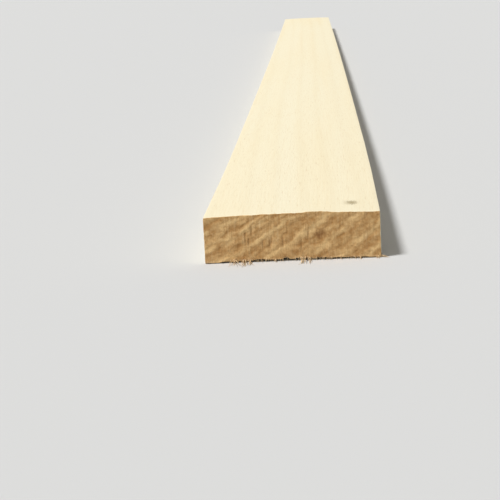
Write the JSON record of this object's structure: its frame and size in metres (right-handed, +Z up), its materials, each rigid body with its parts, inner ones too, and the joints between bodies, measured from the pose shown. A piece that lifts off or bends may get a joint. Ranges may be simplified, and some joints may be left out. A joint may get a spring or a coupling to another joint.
{
  "type": "sawn timber plank",
  "caption": "Straight length of sawn softwood board with a rectangular section, for decking, scaffolding, framing and general building work.",
  "frame": {"origin": "on the floor that the plank lies on, under the middle of its bounding box", "axes": "+Y along the plank from its near end to its far end, +X across its wide face, +Z up through its thickness"},
  "size_m": [0.1554, 4, 0.0411],
  "materials": {
    "sawn_wood": "rough sawn, untreated, pale cream faces and tan end grain"
  },
  "bodies": {
    "root": {"plank": "sawn_wood"}
  },
  "joints": []
}
